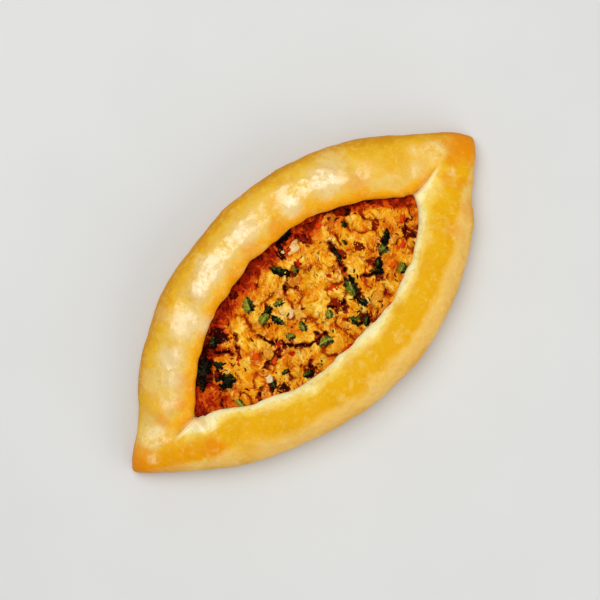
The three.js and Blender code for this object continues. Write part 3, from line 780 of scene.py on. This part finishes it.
scattered = {
    "crumbs": {"seed": 31, "count": 420, "sizes": (0.4, 1.1), "flat": (0.5, 0.9), "power": 2},
    "flecks": {"seed": 61, "count": 30, "sizes": (0.9, 2), "flat": (0.2, 0.4), "power": 1.5},
    "shreds": {"seed": 41, "count": 420, "sizes": (1, 3), "thick": 0.8},
    "browned": {"seed": 71, "count": 80, "sizes": (1.2, 3.2), "thick": 1.5},
    "leafGrid": (8, 22), "leafGrowth": 1.18,  # faces across and along a leaf, and how much larger than listed
    "herbs": [  # x, y, length, width, turn in degrees, darkness; the near-black colour of the leaves by the +Y wall and at the left end is partly painted shade
        (-18.9, 17.2, 7.5, 4.4, 65, 0.25), (3.1, 19, 9, 3.4, -60, 0.8), (-54.9, 11.3, 9, 5.5, 20, 1),
        (-51.4, -0.7, 8, 6, -30, 0.95), (-18.4, 7.3, 6.5, 3.4, 20, 0.0), (-13.9, 2.9, 6.5, 2.8, -75, 0.6),
        (-7.7, -8.1, 5.5, 2.8, 65, 0.3), (-15.4, -7.2, 4.6, 3, -20, 0.4), (-3.9, -20.8, 7.8, 3.6, -22, 0.15),
        (22.6, -9.7, 9.5, 5.2, 66, 0.5), (21.1, -19.6, 6, 2.6, -75, 0.9), (45.6, -8, 4.6, 4, 5, 0.25),
        (50.1, -5.1, 7.5, 2.6, 30, 0.95), (45.1, -21.1, 5.4, 3.4, 25, 0.1), (13.1, -23.6, 6, 4, -60, 0.5),
        (-53.8, -12.2, 7, 2.4, 85, 0.1), (-20.9, -25.6, 5.5, 3, -20, 0.7), (36.6, -14.2, 6.5, 2.4, -40, 0.85),
        (28.1, 4.8, 10, 1.6, 78, 0.85), (5.4, -12.7, 4.4, 3, 60, 0.15), (-60.5, 6.5, 7, 3, 55, 1),
        (-48, 7, 6, 3, -50, 1), (-13.5, 9.4, 6, 2.2, 10, 0.75), (-7.6, 8, 5, 2.4, -25, 0.3),
        (39.5, -11.6, 5, 3, 60, 0.9), (-36.4, -17.5, 3.4, 2.6, 70, 0.8), (16.6, 29, 8, 3.4, -8, 1),
        (16.4, -27, 5, 2.6, 30, 0.8), (-43, 16.5, 6, 3.4, 40, 1), (8.6, 13.6, 4, 2.2, 60, 0.4),
        (34.4, 6.5, 3.4, 1.4, 80, 0.6), (40, 13, 3.6, 2.2, 50, 0.8), (-28, -17.6, 4, 1.8, -25, 0.9),
    ],
    "onions": {"seed": 81, "thickness": 0.42, "sunk": 0.47, "places": [  # as for herbs, then paleness
        (-8.8, 5.2, 3.6, 2.6, 60, 0.7), (-7.6, 1.6, 3.8, 2.8, 20, 0.85), (14.1, 21.7, 9.5, 3.8, -8, 0.75),
        (-36.4, -13.6, 4.2, 3.8, 20, 0.95), (-28.1, -4.7, 4.6, 3.8, 30, 0.3), (-3.5, -2.4, 6, 5.2, -20, 0.45),
        (-22.6, 8.2, 4.4, 3.4, 40, 0.15), (22.8, -0.5, 5, 2, 70, 0.6), (27.2, -23.5, 6.5, 4.6, 20, 0.3),
        (-17, -17.4, 5, 2.2, 15, 0.5), (11.2, -22.6, 4.6, 3.6, 0, 0.2), (51.6, -7, 5, 4, 40, 0.2),
        (-4.5, 12, 5.6, 3.6, 70, 0.15), (4.6, 10.6, 5.6, 3.8, -50, 0.1), (35.5, 17.4, 9, 7, 10, 0),
        (-53.2, -9, 4, 2.8, 80, 0.2),
    ]},
    "peppers": {"seed": 101, "thickness": 0.45, "sunk": 0.3, "places": [  # as for herbs, up to the turn
        (15.4, -4.4, 3.8, 2.6, -80), (17.6, 1.6, 3.4, 1.8, -50), (-33.4, -2, 2.8, 2, 0),
        (-28.4, -9.2, 3.6, 2.2, 30), (0.6, -29.6, 3.4, 1.6, 0), (53.6, -13.2, 4, 2.2, 30),
        (-19.8, -13.8, 3.4, 2.4, -30), (-22, -5.6, 2.8, 2, 20), (12.6, 15.8, 4, 1.8, 40),
        (31.4, 21, 3.4, 2.4, -20), (-4, 10.6, 3.4, 1.8, 10), (43.6, -16.8, 3.2, 1.6, 0),
        (33, -8.8, 2.8, 1.4, 50), (-40.6, 2.4, 3.6, 2, 60), (-58, 2.5, 5, 2.4, -60), (62, -4.2, 3.4, 1.6, 40),
    ]},
}


def modelled(build):  # the places in mm and the faces of what some operators make
    deselectAll()
    build()
    deselectAll()
    thing = bpy.context.view_layer.objects.active
    found = points(thing)
    faces = [tuple(face.vertices) for face in thing.data.polygons]
    bpy.data.objects.remove(thing)
    return found, faces


def grainShape(seed):  # a knobbly grain, 1 mm across
    def build():
        bpy.ops.mesh.primitive_ico_sphere_add(subdivisions=1, radius=0.5 * mm)
        bpy.ops.object.mode_set(mode="EDIT")
        bpy.ops.transform.vertex_random(offset=0.1 * mm, uniform=0.4, seed=seed)
    return modelled(build)


def choppedShape(seed):  # a soft chopped piece with rounded corners, 1 mm across
    def build():
        bpy.ops.mesh.primitive_cube_add(size=mm)
        bpy.ops.object.mode_set(mode="EDIT")
        bpy.ops.mesh.subdivide(number_cuts=5)
        bpy.ops.transform.tosphere(value=0.65)
        bpy.ops.transform.vertex_random(offset=0.035 * mm, uniform=0.3, seed=seed)
    found, faces = modelled(build)
    shift = Vector((seed * 3.7, seed * 1.3, 0))
    bumps = np.array([noise.noise(place * 2.2 + shift) * 0.7 + noise.noise(place * 5.5 + shift) * 0.3
                      for place in map(Vector, found)])
    return found * (1 + bumps[:, None]), faces


def shredShape(seed):  # a torn fibre, 1 mm long
    rng = random.Random(seed)

    def build():
        bpy.ops.mesh.primitive_cylinder_add(vertices=5, radius=0.09 * mm, depth=mm, end_fill_type="TRIFAN")
        bpy.ops.object.mode_set(mode="EDIT")
        for share in (-0.3, -0.1, 0.1, 0.3):
            bpy.ops.mesh.select_all(action="SELECT")
            bpy.ops.mesh.bisect(plane_co=(0, 0, share * mm), plane_no=(0, 0, 1))
        bpy.ops.mesh.select_all(action="SELECT")
        bpy.ops.transform.vertex_random(offset=0.025 * mm, uniform=0.5, seed=seed)
    found, faces = modelled(build)
    along = found[:, 2].copy()
    thick = 1.15 - (2 * along) ** 2 * 0.75
    bend = rng.uniform(-0.6, 0.6) * along ** 2 + rng.uniform(-0.8, 0.8) * along ** 3
    return np.column_stack((along, found[:, 1] * thick + bend, found[:, 0] * thick)), faces


def leafShape(seed):  # a torn flat leaf, 1 mm long and wide, and how near each point is to a vein
    rng = random.Random(seed)
    lobes = rng.choice((3, 4, 5))
    phase = rng.uniform(0, 6.28)
    across, along = scattered["leafGrid"]
    sizes = {"x_subdivisions": along, "y_subdivisions": across, "size": mm}
    found, faces = modelled(lambda: bpy.ops.mesh.primitive_grid_add(**sizes))
    u = found[:, 0] + 0.5
    v = found[:, 1] * 2
    outline = np.sin(np.pi * np.clip(u, 0.02, 0.98) ** rng.uniform(0.7, 1.4)) ** 0.6
    jagged = 0.22 * np.sin(u * lobes * 6.28 + phase + np.sign(v) * 1.3)
    jagged += rng.uniform(0, 0.12) * np.sin(u * 25 + phase * 3 + np.sign(v) * 2)
    jagged += rng.uniform(0, 0.08) * np.sin(u * 47 + phase)
    curve = rng.uniform(-0.3, 0.3) * (4 * (u - 0.5) ** 2 - 0.5)
    found[:, 1] = 0.5 * v * outline * (1 + jagged * np.abs(v)) + curve
    side = np.abs(np.sin(u * 15 - np.abs(v) * 3 + phase))
    vein = np.maximum(bell(v, 0.2), (1 - side) ** 3 * 0.8)
    found[:, 2] = 0.05 * np.sin(u * 7 + phase) * v - 0.045 * bell(v, 0.3) + 0.03 * side
    return found, faces, vein


def gather(name, copies):  # one mesh of many copies: points in mm, faces, and what is painted on each
    vertices = []
    faces = []
    painted = {}
    count = 0
    for found, shapeFaces, values in copies:
        vertices.append(found)
        faces.extend(tuple(i + count for i in face) for face in shapeFaces)
        for key, value in values.items():
            painted.setdefault(key, []).append(np.broadcast_to(value, len(found)))
        count += len(found)
    mesh = bpy.data.meshes.new(name)
    mesh.from_pydata(np.concatenate(vertices) * mm, [], faces)
    made = newObject(name, mesh)
    paint(made, {key: np.concatenate(values) for key, values in painted.items()})
    smooth(made)
    return made


class Ground:  # the surface of the filling, to lay things on
    def __init__(self, walls, core):
        self.xs, self.low, self.high = walls
        self.tree = treeOf(core)

    def room(self, x, y):  # to the nearer wall
        low, high = (np.interp(x, self.xs, ends) for ends in (self.low, self.high))
        return min(y - low, high - y)

    def shade(self, x, y):
        return float(wallShadeAndJuice(x, y, np.interp(x, self.xs, self.high)))

    def land(self, x, y):
        hit, normal, _, _ = self.tree.ray_cast(Vector((x, y, 60)) * mm, Vector((0, 0, -1)))
        return (hit / mm, normal) if hit else (None, None)

    def anywhere(self, rng, clear):  # a random place that keeps clear of the walls
        while True:
            x = rng.uniform(self.xs[0], self.xs[-1])
            y = rng.uniform(-filling["halfWidth"], filling["halfWidth"])
            if self.room(x, y) > clear:
                return x, y


def laid(shape, place, normal, turn, size, sunk):  # one copy of a shape, turned, sized and set on the surface
    lean = Vector((0, 0, 1)).rotation_difference(normal).to_matrix()
    turned = np.array(lean @ Matrix.Rotation(turn, 3, "Z") @ Matrix.Diagonal(size))
    return shape[0] @ turned.T + np.array(place) - np.array(normal) * sunk


def scatterGrains(name, ground, paintOf, seed, count, sizes, flat, power):
    rng = random.Random(seed)
    shapes = [grainShape(i) for i in range(6)]
    copies = []
    for _ in range(count):
        x, y = ground.anywhere(rng, 0.4)
        size = sizes[0] + (sizes[1] - sizes[0]) * rng.random() ** power
        spread = (size * rng.uniform(0.9, 1.5), size * rng.uniform(0.6, 1), size * rng.uniform(*flat))
        place, normal = ground.land(x, y)
        shape = rng.choice(shapes)
        turn = rng.uniform(0, 6.28)
        values = paintOf(rng, x, y)
        if place:
            copies.append((laid(shape, place, normal, turn, spread, -spread[2] * 0.15), shape[1], values))
    return gather(name, copies)


def scatterShreds(name, ground, paintOf, seed, count, sizes, thick):
    rng = random.Random(seed)
    shapes = [shredShape(i) for i in range(8)]
    copies = []
    for _ in range(count):
        x, y = ground.anywhere(rng, 1)
        length = rng.uniform(*sizes)
        turn = 1.0 + noise.noise(Vector((x / 9, y / 9, 3.0))) * 3 + rng.gauss(0, 0.4)
        place, normal = ground.land(x, y)
        shape = rng.choice(shapes)
        values = paintOf(rng, x, y)
        if place:
            spread = (length, length * thick, length * thick * 0.7)
            normal = (normal + Vector((0, 0, 2))).normalized()
            copies.append((laid(shape, place, normal, turn, spread, -0.08), shape[1], values))
    return gather(name, copies)


def layHerbs(ground):
    rng = random.Random(51)
    copies = []
    for index, (x, y, length, width, turn, darkness) in enumerate(scattered["herbs"]):
        flat, faces, vein = leafShape(index)
        along, over, lift = flat.T
        fold = rng.uniform(0.5, 1.1)
        buried = rng.choice((-1, 1)) * along + rng.uniform(-0.3, 0.3) * over
        c = math.cos(math.radians(turn))
        s = math.sin(math.radians(turn))
        length *= scattered["leafGrowth"]
        width *= scattered["leafGrowth"]
        px = x + along * length * c - over * width * s
        py = y + along * length * s + over * width * c
        hits = [ground.land(a, b)[0] for a, b in zip(px, py)]
        level = np.mean([hit.z for hit in hits if hit])
        rows, columns = (count + 1 for count in scattered["leafGrid"])
        heights = np.array([hit.z if hit else level for hit in hits]).reshape(rows, columns)
        for blend in (np.max, np.mean):
            padded = np.pad(heights, 1, mode="edge")
            around = [padded[i:i + rows, j:j + columns] for i in range(3) for j in range(3)]
            heights = blend(around, axis=0)
        # the leaf is folded along its middle, and one end of it goes into the mince
        pz = heights.ravel() + 0.25 + lift * width * 1.4 + (np.abs(over) - 0.2) * width * 0.35 * fold
        pz -= rng.uniform(0.5, 1.3) * step(buried, 0.12, 0.48)
        # painted light and shade: one half of the fold lighter and the other darker, and painted shade
        # towards the end that goes into the mince
        tone = darkness + rng.uniform(-0.05, 0.05) - 0.3 * np.sign(over) * bell(np.abs(over) - 0.3, 0.3)
        tone += 0.5 * step(buried, 0, 0.4)
        copies.append((np.column_stack((px, py, pz)), faces, {"tone": tone, "vein": vein}))
    leaves = gather("herbLeaves", copies)
    modify(leaves, "SOLIDIFY", thickness=0.24 * mm, offset=0)
    return leaves


def layPieces(name, ground, seed, thickness, sunk, places):
    rng = random.Random(seed)
    copies = []
    for index, (x, y, length, width, turn, *paleness) in enumerate(places):
        shape = choppedShape(seed + index)
        place, normal = ground.land(x, y)
        normal = (normal + Vector((0, 0, 1.5))).normalized()
        deep = width * thickness
        tone = paleness[0] if paleness else rng.random()
        down = deep * (sunk - 0.28 * tone)
        found = laid(shape, place, normal, math.radians(turn), (length, width, deep), down)
        copies.append((found, shape[1], {"tone": tone}))
    return gather(name, copies)


def herbMaterial():
    made = Recipe("herbGreen")
    fine = made.noise(1.6, 4, 0.65, seed=21)
    tone = made.attribute("tone") + fine * 2.3
    leaf = made.ramp(tone, (0, (114, 116, 14)), (0.28, (58, 70, 8)), (0.55, (20, 21, 4)), (0.85, (5, 3, 1)))
    bright = made.ramp(tone, (0, (190, 182, 76)), (0.5, (108, 120, 42)), (0.9, (30, 30, 13)))
    colour = made.mixed(made.attribute("vein") * 0.9, leaf, bright)
    skin = made.bump(fine, 0.6, 0.2)
    return made.finish({"Base Color": colour, "Roughness": 0.36 + fine * 0.3, "Normal": skin,
                        "Specular IOR Level": 0.05})


def onionMaterial():
    made = Recipe("softOnion")
    patchy = made.noise(1.7, 4, 0.7, 0.8, seed=31)
    tone = made.attribute("tone") + patchy * 1.5
    colour = made.ramp(tone, (0, (196, 104, 6)), (0.25, (222, 144, 18)), (0.65, (230, 178, 70)),
                       (1, (224, 206, 160)))
    skin = made.bump(patchy, 0.7, 0.35)
    glossy = made.fade(patchy, 0, 0.12) * 0.8
    return made.finish({"Base Color": colour, "Roughness": 0.4 + patchy * 0.3, "Normal": skin,
                        "Coat Weight": glossy, "Coat Roughness": 0.15, "Specular IOR Level": 0.1})


def pepperMaterial():
    made = Recipe("redPepper")
    patchy = made.noise(1.8, 3, 0.6, seed=35.0)
    tone = made.attribute("tone") + patchy
    colour = made.ramp(tone, (0, (150, 20, 1)), (0.4, (200, 38, 1)), (1, (224, 78, 2)))
    skin = made.bump(patchy, 0.5, 0.25)
    return made.finish({"Base Color": colour, "Roughness": 0.4 + patchy * 0.2, "Normal": skin,
                        "Specular IOR Level": 0.06})


def brownedMaterial():
    made = Recipe("brownedBits")
    patchy = made.noise(1, 3, 0.6, seed=38.0)
    tone = made.attribute("tone") + patchy * 0.6
    colour = made.ramp(tone, (0, (16, 2, 2)), (0.6, (60, 9, 3)), (1, (130, 34, 4)))
    return made.finish({"Base Color": colour, "Roughness": 0.45 + patchy * 0.3, "Specular IOR Level": 0.03,
                        "Normal": made.bump(patchy, 0.5, 0.2)})


def dressFilling(ground, mince):
    def asMince(rng, x, y):
        return {"tone": rng.uniform(0.2, 0.9), "fine": 0.05, "raised": 0.3, "gap": 0, "streak": 0, "pit": 0,
                "dash": 0, "shaded": ground.shade(x, y)}

    def asShred(rng, x, y):
        return asMince(rng, x, y) | {"fine": rng.uniform(-0.1, 0.3)}

    def asTone(rng, x, y):
        return {"tone": rng.random(), "vein": 0.2}

    herbs = herbMaterial()
    for thing, material in (
        (scatterGrains("minceCrumbs", ground, asMince, **scattered["crumbs"]), mince),
        (scatterShreds("minceShreds", ground, asShred, **scattered["shreds"]), mince),
        (layHerbs(ground), herbs),
        (scatterGrains("herbFlecks", ground, asTone, **scattered["flecks"]), herbs),
        (scatterShreds("brownedBits", ground, asTone, **scattered["browned"]), brownedMaterial()),
        (layPieces("onionPieces", ground, **scattered["onions"]), onionMaterial()),
        (layPieces("pepperPieces", ground, **scattered["peppers"]), pepperMaterial()),
    ):
        dress(thing, material, "spiced_mince")


# The studio: a plain pale floor, a soft light high on the +Y side, and a camera that looks straight down.

studio = {
    # in mm, and degrees
    "lens": 100, "sensor": 36, "frameWidth": 290, "turn": -44.6, "shiftX": -1.26, "shiftY": 1.89,
    # in m and W
    "keyPlace": (0.05, 0.42, 1.1), "keySize": (1, 1.05), "keyPower": 10.4, "roomLight": 0.36,
    "fillPlace": (0.1, -0.95, 0.5), "fillSize": (1.4, 0.8), "fillPower": 5.5,
}


def addSoftbox(name):
    lamp = bpy.data.lights.new(name + "Softbox", "AREA")
    lamp.energy = studio[name + "Power"]
    lamp.shape = "RECTANGLE"
    lamp.size, lamp.size_y = studio[name + "Size"]
    softbox = newObject(name + "Softbox", lamp)
    softbox.location = studio[name + "Place"]
    softbox.rotation_euler = (-softbox.location).to_track_quat("-Z", "Y").to_euler()


def buildStudio():
    deselectAll()
    bpy.ops.mesh.primitive_plane_add(size=3, location=(0, 0, 0))
    floor = bpy.context.object
    floor.name = "paleFloor"
    made = Recipe("palePaper")
    tone = made.mixed(made.fade(made.noise(60, 2.0), -0.2, 0.2), tint(216, 216, 213), tint(214, 214, 211))
    floor.data.materials.append(made.finish({"Base Color": tone, "Roughness": 0.7}))

    camera = newObject("camera", bpy.data.cameras.new("camera"))
    camera.data.lens = studio["lens"]
    camera.data.sensor_width = studio["sensor"]
    distance = studio["frameWidth"] * mm * studio["lens"] / studio["sensor"]
    turn = math.radians(studio["turn"])
    right = Vector((math.cos(turn), math.sin(turn), 0))
    up = Vector((-math.sin(turn), math.cos(turn), 0))
    camera.location = (right * studio["shiftX"] + up * studio["shiftY"]) * mm + Vector((0, 0, distance))
    camera.rotation_euler = (0, 0, turn)
    bpy.context.scene.camera = camera

    addSoftbox("key")
    addSoftbox("fill")
    world = bpy.data.worlds.new("softRoom")
    world.use_nodes = True
    world.node_tree.nodes["Background"].inputs["Color"].default_value = (0.97, 0.98, 1, 1)
    world.node_tree.nodes["Background"].inputs["Strength"].default_value = studio["roomLight"]
    bpy.context.scene.world = world
    bpy.context.scene.view_settings.view_transform = "Standard"


crust = shapeBread()
dress(crust, crustMaterial(), "glazed_crust", "bread_boat")
walls = wallsOf(treeOf(crust))
core = shapeFilling(walls)
mince = minceMaterial()
dress(core, mince, "spiced_mince", "mince_filling")
dressFilling(Ground(walls, core), mince)
buildStudio()
